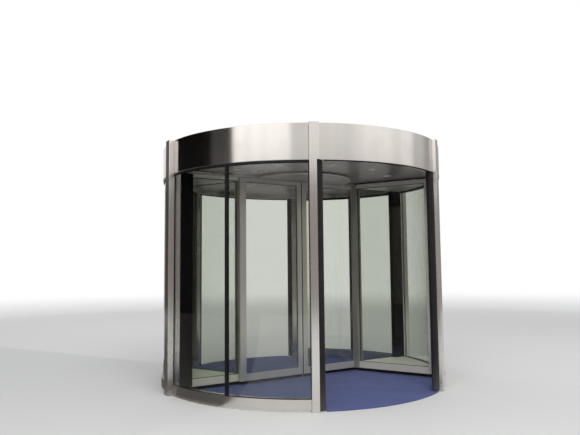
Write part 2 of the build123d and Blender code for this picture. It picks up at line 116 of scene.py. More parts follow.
# Screw heads in the portal posts
SCREW_LEVELS = (2.857, 2.786)
SCREW_ASIDE = 0.033
SCREW_HEIGHT = 0.004
SCREW_DOME = 0.0018
SOCKET_BORDER = 0.3
SOCKET_DEPTH = 0.0018
SOCKET_TAPER = 0.0002

# Bristles: inset of the rows, size of a tuft, play at the ends
BRUSH_INSET = 0.020
TUFT_SHARE = 0.36
TUFT_HALF = 0.0068
TUFT_BORDER = 0.0007
TUFT_DROP = 0.001
CURVE_INSET = 0.008
CORNER_PLAY = 0.006
LEAF_ROW_START = 0.014
LEAF_ROW_PLAY = 0.024

# Brushed sheet: stretch of a line, stretch of reflections, and the track's coarser grain
LINE_STRETCH = 0.012
ANISOTROPY = 0.88
TRACK_GRAIN = 0.6

WHITE = (1, 1, 1, 1)

# Lamps: place, size and share of the key power
LAMPS = {
    "Key lamp": ((-3.5, -6.5, 8.5), 7.0, 1.0),
    "Fill lamp": ((7.0, -3.0, 6.0), 5.0, 0.17),
    "Back lamp": ((1.0, 8.0, 7.5), 6.0, 0.3),
}
LAMP_AIM = Vector((0, 0, 1.3))

# Round studio wall that reflections show
WALL_RADIUS = 13.0
WALL_HEIGHT = 14.0
WALL_BREAK = (4.0, 4.5)

# Its zones: first bearing and soft edge in degrees, brightness below and above the break
WALL_ZONES = (
    (112.0, 4.0, 0.01, 0.004),
    (168.5, 1.0, 0.1, 0.055),
    (187.0, 1.0, 0.42, 1.55),
    (230.0, 1.0, 0.33, 0.92),
    (247.0, 4.0, 0.33, 0.99),
    (280.0, 5.0, 0.35, 1.24),
    (296.0, 4.0, 0.36, 1.28),
    (307.0, 3.5, 0.4, 1.11),
    (321.0, 3.0, 0.4, 1.25),
    (330.0, 3.0, 0.38, 0.68),
    (346.0, 4.0, 0.36, 0.42),
    (386.0, 6.0, 0.42, 0.55),
    (425.0, 8.0, 0.45, 0.9),
)

# Studio floor, and the distances between which it runs out into white
FLOOR_SIDE = 160.0
FLOOR_LEVEL = -0.001
FLOOR_FADE = (4.0, 26.0)

# Dark patch of floor that only reflections show
PATCH_SIDE = 13.0
PATCH_LEVEL = 0.0004
PATCH_BEARING = radians(118.0)


# Settings
def number(name, description, default, **kind):
    """Number property, with its limits and its unit or subtype."""
    return FloatProperty(name=name, description=description, default=default, **kind)


def tint(name, description, *colour):
    """Colour property."""
    kind = {"size": 4, "min": 0.0, "max": 1.0, "subtype": "COLOR"}
    default = (*colour, 1.0)
    return FloatVectorProperty(name=name, description=description, default=default, **kind)


class DoorSizes(bpy.types.PropertyGroup):
    """Sizes of the seals, bristles and fixings."""

    gasket_width: number(
        "Gasket width", "Width of the black glazing gasket that shows beside a frame",
        0.006, min=0.002, max=0.02, unit="LENGTH",
    )
    gasket_thickness: number(
        "Gasket thickness", "How far a gasket stands off the glass",
        0.0018, min=0.0005, max=0.01, unit="LENGTH",
    )
    bristle_spacing: number(
        "Bristle spacing", "Distance between two tufts of a brush seal",
        0.008, min=0.002, max=0.05, unit="LENGTH",
    )
    screw_radius: number(
        "Screw radius", "Radius of a screw head",
        0.007, min=0.002, max=0.03, unit="LENGTH",
    )
    grain_scale: number(
        "Grain scale", "How many brushed lines cross one metre of steel",
        900.0, min=50.0, max=5000.0,
    )
    pile_scale: number(
        "Pile scale", "How many carpet tufts lie along one metre",
        240.0, min=50.0, max=2000.0,
    )


class DoorColours(bpy.types.PropertyGroup):
    """Colours of the finishes."""

    steel: tint("Stainless steel", "Colour of the posts, plinths and fascia", 0.78, 0.75, 0.715)
    frame_steel: tint("Rotor frame steel", "Colour of rotor and leaf frames", 0.78, 0.75, 0.70)
    # Pale cream rail colour: painted light, standing in for the steel's bright reflection of the
    # outdoors
    lit_base_rail: tint("Base rail", "Colour of the rails at the foot of the wings", 0.72, 0.68, 0.61)
    rubber: tint("Rubber", "Colour of the safety profiles and gaskets", 0.012, 0.010, 0.012)
    dark_trim: tint("Dark trim", "Powder coat of the mullions and head rails", 0.010, 0.010, 0.011)
    glass: tint("Glass", "Tint of the panes", 0.75, 0.77, 0.735)
    ceiling: tint("Ceiling", "Colour of the ceiling panel", 0.352, 0.316, 0.302)
    hub: tint("Rotor head", "Colour of the round rotor head", 0.32, 0.295, 0.28)
    carpet: tint("Carpet", "Colour of the floor mat's pile", 0.078, 0.098, 0.256)
    board: tint("Display board", "Colour of the boards in the showcases", 0.62, 0.605, 0.555)
    lamp_glow: tint("Lamp glow", "Colour of the light from the downlights", 1.0, 0.9, 0.76)


class DoorStudio(bpy.types.PropertyGroup):
    """Camera and lamps."""

    camera_place: FloatVectorProperty(
        name="Camera place", description="Where the camera stands",
        default=(-4.187, -6.434, 1.451), size=3, subtype="TRANSLATION", unit="LENGTH",
    )
    heading: number("Heading", "Turn of the view to the right", radians(31.961), subtype="ANGLE")
    pitch: number("Pitch", "Upward tilt of the view", radians(4.782), subtype="ANGLE")
    roll: number("Roll", "Lean of the camera", radians(-0.54), subtype="ANGLE")
    lens: number("Lens", "Focal length on a 36 mm sensor, in mm", 35.83, min=10.0, max=200.0)
    key_power: number("Key power", "Power of the lamp above the door, in watts", 600.0, min=0.0)
    sky_level: number("Sky level", "Brightness of the surrounding light", 0.62, min=0.0, max=2.0)
    floor_tone: number("Floor tone", "Brightness of the pale floor", 0.67, min=0.0, max=1.0)


# Shader helpers
def feed(node, inputs):
    """Feed a node's inputs, by name or number, from sockets or with plain values."""
    for name, value in inputs.items():
        if isinstance(value, bpy.types.NodeSocket):
            node.id_data.links.new(value, node.inputs[name])
        else:
            node.inputs[name].default_value = value


def add_node(tree, kind, inputs=None, **settings):
    """Add a shader node, set its properties and feed its inputs."""
    made = tree.nodes.new("ShaderNode" + kind)
    for name, value in settings.items():
        setattr(made, name, value)
    feed(made, inputs or {})
    return made


def maths(tree, operation, *values, clamp=False):
    """Maths node on sockets or numbers; returns its output."""
    inputs = dict(enumerate(values))
    made = add_node(tree, "Math", inputs, operation=operation, use_clamp=clamp)
    return made.outputs[0]


def product(tree, first, second, clamp=False):
    return maths(tree, "MULTIPLY", first, second, clamp=clamp)


def total(tree, first, second, clamp=False):
    return maths(tree, "ADD", first, second, clamp=clamp)


def split(tree, source):
    """The three parts of a vector or colour."""
    return add_node(tree, "SeparateXYZ", {0: source}).outputs[:]


def noise(tree, place, scale, detail, roughness=0.5, distortion=0.0):
    """Noise over a place, as a value."""
    inputs = {"Vector": place, "Scale": scale, "Detail": detail, "Roughness": roughness}
    inputs["Distortion"] = distortion
    return add_node(tree, "TexNoise", inputs).outputs["Fac"]


def tinted(tree, mask, dark, light, blend_type="MIX"):
    """Blend of two colours or colour sockets by a mask."""
    inputs = {"Factor": mask, "A": dark, "B": light}
    made = add_node(tree, "Mix", inputs, data_type="RGBA", blend_type=blend_type)
    return made.outputs["Result"]


def spread(tree, mask, low, high):
    """Map a 0 to 1 socket to a range."""
    inputs = {"Value": mask, "To Min": low, "To Max": high}
    return add_node(tree, "MapRange", inputs).outputs["Result"]


def bumped(tree, height, strength, distance):
    """Normal of a fine relief."""
    inputs = {"Strength": strength, "Distance": distance, "Height": height}
    return add_node(tree, "Bump", inputs).outputs["Normal"]


def shaded(colour, factor):
    """A colour made darker or lighter."""
    return [min(1.0, value * factor) for value in colour[:3]] + [1.0]


def shades(tree, mask, colour, first, second):
    """Blend of two shades of a colour by a mask."""
    return tinted(tree, mask, shaded(colour, first), shaded(colour, second))


def new_material(name):
    """Empty material with a Principled shader and object coordinates."""
    material = bpy.data.materials.new(name)
    material.use_nodes = True
    tree = material.node_tree
    place = add_node(tree, "TexCoord").outputs["Object"]
    return material, tree, tree.nodes["Principled BSDF"], place


def mix_surface(tree, share, first, second, output="Material Output"):
    """Send a blend of two shaders to the output."""
    inputs = {0: share, 1: first.outputs[0], 2: second.outputs[0]}
    mix = add_node(tree, "MixShader", inputs)
    feed(tree.nodes[output], {"Surface": mix.outputs[0]})


def seen_share(tree):
    """1 for what the camera sees straight, in metal or through glass, 0 for light on surfaces."""
    path = add_node(tree, "LightPath").outputs
    direct = maths(tree, "MAXIMUM", path["Is Camera Ray"], path["Is Glossy Ray"])
    return maths(tree, "MAXIMUM", direct, path["Is Transmission Ray"])


# Shared effects; each function fills a node group and returns its outputs
def drum_coordinates(group, vector):
    """Arc length round the drum axis, radius and height."""
    x, y, z = split(group, vector)
    arc = product(group, maths(group, "ARCTAN2", y, x), DRUM_RADIUS)
    square = total(group, product(group, x, x), product(group, y, y))
    inputs = {0: arc, 1: maths(group, "SQRT", square), 2: z}
    return {"Vector": add_node(group, "CombineXYZ", inputs).outputs[0]}


def brushed_grain(group, vector, stretch, lines):
    """Brushed lines: fine across, long along one axis, with slow changes of tone."""
    inputs = {0: vector, 1: stretch}
    stretched = add_node(group, "VectorMath", inputs, operation="MULTIPLY")
    grain = noise(group, stretched.outputs[0], lines, 3.0, 0.6)
    return {"Grain": grain, "Tone": noise(group, vector, 1.3, 3.0)}


def floor_dust_and_reflection(group, vector, height, amount):
    """Mask that is strongest near the floor: dust and scuffs, and on steel also a painted
    reflection of the pale floor.
    """
    share = maths(group, "DIVIDE", split(group, vector)[2], height)
    low = maths(group, "SUBTRACT", 1.0, share, clamp=True)
    cloud = noise(group, vector, 26.0, 5.0, 0.62)
    speck = total(group, product(group, cloud, 0.9), 0.2, clamp=True)
    mask = product(group, product(group, low, low), speck)
    return {"Mask": product(group, mask, amount, clamp=True)}


def smudges(group, vector, scale):
    """Mask of soft hand and rain marks on smooth surfaces."""
    cloud = noise(group, vector, scale, 4.0, 0.55, 0.4)
    return {"Mask": product(group, maths(group, "SUBTRACT", cloud, 0.48), 4.0, clamp=True)}


def carpet_pile(group, vector, scale):
    """Carpet tufts: a colour mask and a height."""
    inputs = {"Vector": vector, "Scale": scale, "Randomness": 1.0}
    tufts = add_node(group, "TexVoronoi", inputs)
    trodden = noise(group, vector, 3.0, 5.0, 0.6)
    fibre = noise(group, vector, 420.0, 2.0)
    height = maths(group, "SUBTRACT", 1.0, tufts.outputs["Distance"])
    return {
        "Mask": total(group, product(group, trodden, 0.55), product(group, fibre, 0.45)),
        "Height": total(group, height, product(group, fibre, 0.5)),
    }


EFFECTS = {
    "Drum coordinates": (drum_coordinates, {}),
    "Brushed grain": (brushed_grain, {"Stretch": (1.0, 1.0, 1.0), "Lines": 900.0}),
    "Floor dust and painted reflection": (floor_dust_and_reflection, {"Height": 0.3, "Amount": 0.5}),
    "Smudges": (smudges, {"Scale": 4.0}),
    "Carpet pile": (carpet_pile, {"Scale": 240.0}),
}


def make_effect(name):
    """Node group of a shared effect, with its sockets."""
    fill, defaults = EFFECTS[name]
    group = bpy.data.node_groups.new(name, "ShaderNodeTree")
    inputs = {"Vector": (0.0, 0.0, 0.0), **defaults}
    for label, default in inputs.items():
        kind = "NodeSocketFloat" if isinstance(default, float) else "NodeSocketVector"
        socket = group.interface.new_socket(label, in_out="INPUT", socket_type=kind)
        socket.default_value = default
    start = group.nodes.new("NodeGroupInput").outputs
    made = fill(group, *[start[label] for label in inputs])
    for label, source in made.items():
        kind = "NodeSocketVector" if source.type == "VECTOR" else "NodeSocketFloat"
        group.interface.new_socket(label, in_out="OUTPUT", socket_type=kind)
    feed(group.nodes.new("NodeGroupOutput"), made)
    return group


def effect(tree, name, place, **values):
    """Put a shared effect in a material, made when first needed; returns its outputs."""
    group = bpy.data.node_groups.get(name) or make_effect(name)
    return add_node(tree, "Group", {"Vector": place, **values}, node_tree=group).outputs


def finish(material, *starts):
    """Give a material to the CAD nodes whose names start with one of these words."""
    for start in starts:
        names = [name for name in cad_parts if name.startswith(start)]
        if not names:
            raise KeyError("The frame has no node called " + start)
        for name in names:
            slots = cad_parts[name].data.materials
            slots.clear()
            slots.append(material)


# Materials
def brushed_steel(name, colour, lines, curved, roughness, metallic=1.0, dust_and_reflection_height=0.16):
    """Brushed stainless sheet; the grain runs round the drum or up the piece."""
    material, tree, shader, place = new_material(name)
    along = effect(tree, "Drum coordinates", place)["Vector"] if curved else place
    stretch = (LINE_STRETCH, 1.0, 1.0) if curved else (1.0, 1.0, LINE_STRETCH)
    grain = effect(tree, "Brushed grain", along, Stretch=stretch, Lines=lines)
    dust = effect(tree, "Floor dust and painted reflection", place, Height=dust_and_reflection_height, Amount=0.6)["Mask"]
    smudge = effect(tree, "Smudges", place, Scale=3.0)["Mask"]
    clean = shades(tree, grain["Grain"], colour, 0.86, 1.08)
    tone = tinted(tree, grain["Tone"], (0.93, 0.93, 0.94, 1), WHITE)
    toned = tinted(tree, 1.0, clean, tone, "MULTIPLY")
    rough = spread(tree, grain["Grain"], roughness - 0.03, roughness + 0.05)
    smeared = total(tree, rough, product(tree, smudge, 0.05))
    tangent = add_node(tree, "Tangent", direction_type="RADIAL", axis="Z")
    feed(shader, {
        # Near the floor the steel turns pale, rough and hardly metallic: partly dust, partly a
        # painted reflection of the pale floor
        "Base Color": tinted(tree, dust, toned, (0.66, 0.63, 0.57, 1)),
        "Metallic": spread(tree, dust, metallic, 0.1),
        "Roughness": total(tree, smeared, product(tree, dust, 0.3), clamp=True),
        "Anisotropic": ANISOTROPY,
        "Anisotropic Rotation": 0.25 if curved else 0.0,
        "Tangent": tangent.outputs[0],
        "Normal": bumped(tree, grain["Grain"], 0.08, 0.0004),
    })
    return material


def pane_glass(name, colour):
    """Clear glass with faint marks; lamps reach what is behind it."""
    material, tree, shader, place = new_material(name)
    smudge = effect(tree, "Smudges", place, Scale=2.2)["Mask"]
    feed(shader, {
        "Base Color": shades(tree, smudge, colour, 1.0, 0.985),
        "Roughness": spread(tree, smudge, 0.0, 0.012),
        "Transmission Weight": 1.0,
        "IOR": 1.42,
    })
    clear = add_node(tree, "BsdfTransparent", {"Color": shaded(colour, 1.12)})
    shadow = add_node(tree, "LightPath").outputs["Is Shadow Ray"]
    mix_surface(tree, shadow, shader, clear)
    return material


def soft_rubber(name, colour, gloss=0.22):
    """Matt rubber with a fine skin and pale dust."""
    material, tree, shader, place = new_material(name)
    skin = noise(tree, place, 260.0, 3.0)
    dust = effect(tree, "Floor dust and painted reflection", place, Height=0.5, Amount=0.6)["Mask"]
    smudge = effect(tree, "Smudges", place, Scale=7.0)["Mask"]
    worn = shades(tree, smudge, colour, 1.0, 1.6)
    feed(shader, {
        "Base Color": tinted(tree, dust, worn, (0.16, 0.15, 0.14, 1)),
        "Roughness": spread(tree, smudge, 0.42, 0.6),
        "Specular IOR Level": gloss,
        "Normal": bumped(tree, skin, 0.15, 0.0004),
    })
    return material


def powder_coat(name, colour, roughness, metallic=0.0):
    """Satin coat with a fine orange-peel surface and slow changes of tone."""
    material, tree, shader, place = new_material(name)
    smudge = effect(tree, "Smudges", place, Scale=2.0)["Mask"]
    feed(shader, {
        "Base Color": shades(tree, smudge, colour, 1.06, 0.92),
        "Roughness": spread(tree, smudge, roughness, roughness + 0.1),
        "Metallic": metallic,
        "Specular IOR Level": 0.3,
        "Normal": bumped(tree, noise(tree, place, 420.0, 2.0), 0.06, 0.0003),
    })
    return material


def satin_sheet(name, colour, roughness, metallic):
    """Dark satin sheet that mirrors softly, with faint wipe marks."""
    material, tree, shader, place = new_material(name)
    grain = effect(tree, "Brushed grain", place, Stretch=(1.0, 0.02, 1.0), Lines=260.0)
    smudge = effect(tree, "Smudges", place, Scale=1.6)["Mask"]
    base = shades(tree, grain["Grain"], colour, 0.97, 1.03)
    feed(shader, {
        "Base Color": tinted(tree, product(tree, smudge, 0.05), base, shaded(colour, 0.8)),
        "Roughness": spread(tree, smudge, roughness, roughness + 0.02),
        "Metallic": metallic,
        "Specular IOR Level": 0.35,
        "Specular Tint": (0.7, 0.7, 0.7, 1),
    })
    return material


def carpet(name, colour, scale):
    """Short carpet pile, trodden in places."""
    material, tree, shader, place = new_material(name)
    pile = effect(tree, "Carpet pile", place, Scale=scale)
    feed(shader, {
        "Base Color": shades(tree, pile["Mask"], colour, 0.55, 1.5),
        "Roughness": 0.95,
        "Specular IOR Level": 0.2,
        "Sheen Weight": 0.1,
        "Sheen Roughness": 0.5,
        "Normal": bumped(tree, pile["Height"], 0.7, 0.003),
    })
    return material


def painted_board(name, colour):
    """Painted board with a faint grain."""
    material, tree, shader, place = new_material(name)
    grain = effect(tree, "Brushed grain", place, Stretch=(0.06, 1.0, 1.0), Lines=60.0)
    feed(shader, {
        "Base Color": shades(tree, grain["Grain"], colour, 0.88, 1.08),
        "Roughness": spread(tree, grain["Tone"], 0.4, 0.6),
        "Normal": bumped(tree, grain["Grain"], 0.1, 0.0006),
    })
    return material


def lamp_glass(name, colour):
    """Frosted lamp glass that glows softly."""
    material, tree, shader, place = new_material(name)
    frost = noise(tree, place, 700.0, 2.0)
    feed(shader, {
        "Base Color": shades(tree, frost, colour, 0.75, 1.0),
        "Emission Color": shades(tree, frost, colour, 0.9, 1.0),
        "Emission Strength": 0.15,
        "Roughness": 0.45,
        "Normal": bumped(tree, frost, 0.2, 0.0004),
    })
    return material


def galvanised(name, colour):
    """Zinc sheet with a soft spangle and dust."""
    material, tree, shader, place = new_material(name)
    cells = add_node(tree, "TexVoronoi", {"Vector": place, "Scale": 55.0})
    spangle = cells.outputs["Distance"]
    smudge = effect(tree, "Smudges", place, Scale=1.6)["Mask"]
    zinc = shades(tree, spangle, colour, 1.1, 0.82)
    feed(shader, {
        "Base Color": tinted(tree, product(tree, smudge, 0.55), zinc, (0.36, 0.34, 0.31, 1)),
        "Metallic": 0.6,
        "Roughness": spread(tree, smudge, 0.45, 0.75),
        "Normal": bumped(tree, spangle, 0.05, 0.0005),
    })
    return material


def bristle_fibre(name, colour):
    """Black nylon bristles with fine upright streaks."""
    material, tree, shader, place = new_material(name)
    grain = effect(tree, "Brushed grain", place, Stretch=(1.0, 1.0, 0.03), Lines=700.0)["Grain"]
    feed(shader, {
        "Base Color": shades(tree, grain, colour, 0.5, 1.9),
        "Roughness": spread(tree, grain, 0.6, 0.85),
        "Specular IOR Level": 0.1,
        "Normal": bumped(tree, grain, 0.5, 0.0015),
    })
    return material


# Mesh helpers
def shift(x=0.0, y=0.0, z=0.0):
    return Matrix.Translation((x, y, z))


def turn_z(angle):
    return Matrix.Rotation(angle, 4, "Z")


def clear_selection():
    bpy.ops.object.select_all(action="DESELECT")


def choose(*pieces):
    """Select only these pieces and make the first one active."""
    clear_selection()
    for piece in pieces:
        piece.select_set(True)
    bpy.context.view_layer.objects.active = pieces[0]


def bake_place():
    """Move the selected object's place, turn and scale into its mesh."""
    bpy.ops.object.transform_apply(location=True, rotation=True, scale=True)


def add_mesh(operator, scale=(1, 1, 1), **settings):
    """Add a simple mesh, with its place, turn and scale baked in."""
    clear_selection()
    operator(**settings)
    piece = bpy.context.object
    piece.scale = scale
    bake_place()
    return piece


def edit_faces():
    """Enter edit mode with all faces selected."""
    bpy.ops.object.mode_set(mode="EDIT")
    bpy.ops.mesh.select_mode(type="FACE")
    bpy.ops.mesh.select_all(action="SELECT")


def leave_edit():
    bpy.ops.object.mode_set(mode="OBJECT")


def face_outward():
    bpy.ops.mesh.select_all(action="SELECT")
    bpy.ops.mesh.normals_make_consistent(inside=False)


def choose_faces(piece, test):
    """Select the faces that pass a test, in edit mode."""
    mesh = bmesh.from_edit_mesh(piece.data)
    bpy.ops.mesh.select_all(action="DESELECT")
    for face in mesh.faces:
        face.select_set(test(face))
    bmesh.update_edit_mesh(piece.data)


def soften(piece, width):
    """Round the edges of a piece."""
    choose(piece)
    bevel = piece.modifiers.new("Soft edge", "BEVEL")
    bevel.width = width
    bevel.segments = 2
    bevel.limit_method = "ANGLE"
    bpy.ops.object.modifier_apply(modifier=bevel.name)


def settle(piece, name, material, body):
    """Name a piece, bake its place into its mesh and hang it on a body."""
    choose(piece)
    bake_place()
    piece.name = name
    piece.data.name = name
    piece.data.materials.clear()
    piece.data.materials.append(material)
    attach(piece, body)


def own_copy(piece, matrix):
    """Copy with its own mesh, moved by a matrix."""
    twin = piece.copy()
    twin.data = piece.data.copy()
    bpy.context.scene.collection.objects.link(twin)
    twin.data.transform(matrix)
    return twin


def merged(pieces):
    """Join several pieces into the first."""
    choose(*pieces)
    bpy.ops.object.join()
    return pieces[0]


def doubled(piece, matrix):
    """Join a piece with its copy, which a matrix moves."""
    return merged([piece, own_copy(piece, matrix)])


def settle_sides(right, stem, material, body):
    """Settle a right-hand piece and its half-turned copy; without a body, each on its leaf."""
    left = own_copy(right, turn_z(pi))
    for side, piece in (("right", right), ("left", left)):
        settle(piece, stem + side, material, body or side + "_leaf")


def standing_plane(width, height, place=(0, 0, 0)):
    """Upright rectangle that faces along Y."""
    kind = {"size": 1.0, "rotation": (pi / 2, 0, 0), "location": place}
    return add_mesh(bpy.ops.mesh.primitive_plane_add, (width, height, 1.0), **kind)


def ring_frame(width, height, border, thickness):
    """Flat rectangular ring round a window, lying in the XZ plane and thick along Y."""
    ring = standing_plane(width, height)
    edit_faces()
    bpy.ops.mesh.inset(thickness=border, depth=0)
    bpy.ops.mesh.delete(type="FACE")
    bpy.ops.mesh.select_all(action="SELECT")
    bpy.ops.mesh.extrude_region_move(TRANSFORM_OT_translate={"value": (0, thickness, 0)})
    face_outward()
    leave_edit()
    soften(ring, thickness * GASKET_ROUND)
    return ring


def arc_bar(radius, depth, low, high, start, span, steps):
    """Bar bent round the drum axis, spun from a small rectangle."""
    bar = standing_plane(depth, high - low, (radius, 0, (low + high) / 2))
    bar.data.transform(turn_z(start))
    edit_faces()
    bpy.ops.mesh.spin(
        steps=steps, angle=span, center=(0, 0, 0), axis=(0, 0, -1), use_auto_merge=False
    )
    bpy.ops.mesh.select_all(action="SELECT")
    bpy.ops.mesh.remove_doubles(threshold=0.00001)
    face_outward()
    leave_edit()
    return bar


def glazing_strips(outer, inner, sizes, spans, low, high):
    """Gaskets round some spans of a curved pane, on both of its faces."""
    depth = sizes.gasket_thickness
    width = sizes.gasket_width
    strips = []
    for radius in (outer + depth / 2, inner - depth / 2):
        edge = width / radius
        for first, last in spans:
            steps = max(2, round(degrees(last - first) / 2))
            strips += [
                arc_bar(radius, depth, low, low + width, first, last - first, steps),
                arc_bar(radius, depth, high - width, high, first, last - first, steps),
                arc_bar(radius, depth, low + width, high - width, first, edge, 1),
                arc_bar(radius, depth, low + width, high - width, last - edge, edge, 1),
            ]
    return strips


def lipped_bar(low, high):
    """Upright seal between two corners, with a rounded front."""
    size = high - low
    cube = bpy.ops.mesh.primitive_cube_add
    bar = add_mesh(cube, size, size=1.0, location=(low + high) / 2)
    edit_faces()
    choose_faces(bar, lambda face: face.normal.y > 0.9)
    bpy.ops.mesh.inset(thickness=size.x * LIP_BORDERS[0], depth=0)
    bpy.ops.mesh.inset(thickness=size.x * LIP_BORDERS[1], depth=-LIP_DEPTH)
    leave_edit()
    soften(bar, LIP_ROUND)
    return bar


class DoorOperator(bpy.types.Operator):
    """Shared access to the settings."""

    bl_options = {"REGISTER", "UNDO"}

    @property
    def sizes(self):
        return bpy.context.scene.door_sizes

    @property
    def colours(self):
        return bpy.context.scene.door_colours

    @property
    def studio(self):
        return bpy.context.scene.door_studio

    def steel(self, name, colour, curved, roughness, *looks):
        """Brushed steel with the grain of the settings."""
        return brushed_steel(name, colour, self.sizes.grain_scale, curved, roughness, *looks)

    @property
    def gasket_rubber(self):
        """Rubber of all gaskets and seals, made when first needed."""
        found = bpy.data.materials.get("Gasket rubber")
        return found or soft_rubber("Gasket rubber", self.colours.rubber, 0.1)


class DOOR_OT_steelwork(DoorOperator):
    """Finish the stainless posts, plinths and fascia"""

    bl_idname = "door.steelwork"
    bl_label = "Drum steelwork"

    def execute(self, context):
        colour = self.colours.steel
        upright = self.steel("Brushed steel posts", colour, False, 0.22)
        finish(upright, "portal_post", "facade_posts")
        curved = self.steel("Brushed steel drum", colour, True, 0.17, 1.0, 0.05)
        finish(curved, "fascia", "plinth")
        return {"FINISHED"}


class DOOR_OT_rotor_frames(DoorOperator):
    """Finish the frames, track and hangers of the rotor and the leaves"""

    bl_idname = "door.rotor_frames"
    bl_label = "Rotor frames"

    def execute(self, context):
        colour = self.colours.frame_steel
        rail = self.colours.lit_base_rail
        # The last number of each of these steels is the height of its pale foot: dust and painted
        # reflection of the floor
        frames = self.steel("Satin frames", colour, False, 0.36, 0.7, 0.3)
        finish(frames, "branch_stiles", "leaf_frame")
        # Jambs: the frame steel darkened to 0.46, painted shade and dark reflection of the jamb
        # faces
        jambs = self.steel("Satin jambs with painted shade", shaded(colour, 0.46), False, 0.36, 0.7, 0.3)
        finish(jambs, "jamb_posts")
        # Base rails: cream and hardly metallic, painted light for their bright reflection
        finish(self.steel("Satin base rails with painted light", rail, True, 0.46, 0.08, 0.3), "wing_base")
        # Top rails: the frame steel darkened to 0.9, painted shade of the canopy
        top = self.steel("Satin top rails with painted shade", shaded(colour, 0.9), True, 0.42, 0.5, 0.3)
        finish(top, "wing_top")
        coarse = self.sizes.grain_scale * TRACK_GRAIN
        finish(brushed_steel("Track aluminium", colour, coarse, False, 0.34), "track_rails")
        finish(galvanised("Zinc plated hangers", (0.5, 0.5, 0.49, 1)), "leaf_hangers")
        return {"FINISHED"}


class DOOR_OT_glazing(DoorOperator):
    """Finish the curved side panes, the showcase panes and the leaf panes"""

    bl_idname = "door.glazing"
    bl_label = "Glazing"

    def execute(self, context):
        colour = self.colours.glass
        finish(pane_glass("Curved side glass", colour), "side_glass")
        finish(pane_glass("Rotor glass", shaded(colour, 1.12)), "case_glass", "leaf_glass")
        return {"FINISHED"}


class DOOR_OT_rubber_and_trim(DoorOperator):
    """Finish the rubber profiles, dark trim, display boards and brushes"""

    bl_idname = "door.rubber_and_trim"
    bl_label = "Rubber and dark trim"

    def execute(self, context):
        rubber = self.colours.rubber
        finish(soft_rubber("Safety rubber", rubber), "safety_strips")
        finish(soft_rubber("Nose rubber", shaded(rubber, 0.4), 0.05), "nose_rubbers")
        coat = powder_coat("Black powder coat", self.colours.dark_trim, 0.35)
        finish(coat, "mullions", "head_rails")
        finish(painted_board("Display board paint", self.colours.board), "display_boards")
        finish(bristle_fibre("Brush bristles", rubber), "wing_brushes", "leaf_seals")
        return {"FINISHED"}


class DOOR_OT_canopy_parts(DoorOperator):
    """Finish the ceiling, downlights, rotor head, structure and roof"""

    bl_idname = "door.canopy_parts"
    bl_label = "Canopy and rotor head"

    def execute(self, context):
        finish(satin_sheet("Dark ceiling sheet", self.colours.ceiling, 0.26, 0.35), "ceiling")
        finish(satin_sheet("Rotor head sheet", self.colours.hub, 0.3, 0.35), "rotor_hub")
        cans = self.steel("Downlight trim", (0.8, 0.8, 0.78, 1), False, 0.25)
        finish(cans, "downlights")
        finish(lamp_glass("Frosted lamp glass", self.colours.lamp_glow), "downlight_lenses")
        finish(powder_coat("Primed structure", (0.2, 0.19, 0.18, 1), 0.55), "canopy_frame")
        finish(powder_coat("Bearing ring", (0.16, 0.16, 0.165, 1), 0.4, 0.8), "rotor_bearing")
        finish(galvanised("Zinc roof sheet", (0.46, 0.46, 0.45, 1)), "canopy_roof")
        return {"FINISHED"}


class DOOR_OT_carpet(DoorOperator):
    """Finish the floor mat"""

    bl_idname = "door.carpet"
    bl_label = "Floor mat"

    def execute(self, context):
        pile = carpet("Blue carpet pile", self.colours.carpet, self.sizes.pile_scale)
        finish(pile, "floor_mat")
        return {"FINISHED"}


class DOOR_OT_leaf_gaskets(DoorOperator):
    """Model the black gaskets round the panes of the sliding leaves"""

    bl_idname = "door.leaf_gaskets"
    bl_label = "Leaf gaskets"

    def execute(self, context):
        border = self.sizes.gasket_width * LEAF_GASKET_SHARE
        thickness = self.sizes.gasket_thickness
        for side in ("left", "right"):
            low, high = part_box("leaf_glass_" + side)
            ring = ring_frame(high.x - low.x, high.z - low.z, border, thickness)
            ring.data.transform(shift((low.x + high.x) / 2, high.y, (low.z + high.z) / 2))
            pair = doubled(ring, shift(y=-2 * high.y - thickness))
            name = "leaf_gaskets_" + side
            settle(pair, name, self.gasket_rubber, side + "_leaf")
        return {"FINISHED"}


class DOOR_OT_case_gaskets(DoorOperator):
    """Model the black gaskets round the three panes of each showcase"""

    bl_idname = "door.case_gaskets"
    bl_label = "Showcase gaskets"

    def execute(self, context):
        right = merged([self.spine_rings(), self.branch_rings(), *self.curved_strips()])
        settle_sides(right, "case_gaskets_", self.gasket_rubber, "rotor")
        return {"FINISHED"}

    def pair(self, width, place):
        """A ring on each face of a flat pane, moved by a matrix."""
        thickness = self.sizes.gasket_thickness
        ring = ring_frame(width, CASE_TOP - RAIL_TOP, self.sizes.gasket_width, thickness)
        ring.data.transform(shift(y=CASE_PANE / 2))
        both = doubled(ring, shift(y=-CASE_PANE - thickness))
        both.data.transform(place)
        return both

    def spine_rings(self):
        middle = (JAMB_SIDE + NOSE_START) / 2
        across = -SPINE_FACE - FRAME_WIDTH / 2
        return self.pair(NOSE_START - JAMB_SIDE, shift(middle, across, (RAIL_TOP + CASE_TOP) / 2))

    def branch_rings(self):
        first = JAMB_DEPTH + JAMB_CLEARANCE
        last = BRANCH_LENGTH - BRANCH_STILE
        vertex = shift(VERTEX, -SPINE_FACE, (RAIL_TOP + CASE_TOP) / 2)
        place = vertex @ turn_z(-BRANCH_ANGLE) @ shift((first + last) / 2)
        return self.pair(last - first, place)

    def curved_strips(self):
        inner = CASE_PANE_RADIUS - CASE_PANE
        spans = [(-STILE_BEARING, -NOSE_BEARING)]
        return glazing_strips(CASE_PANE_RADIUS, inner, self.sizes, spans, RAIL_TOP, CASE_TOP)


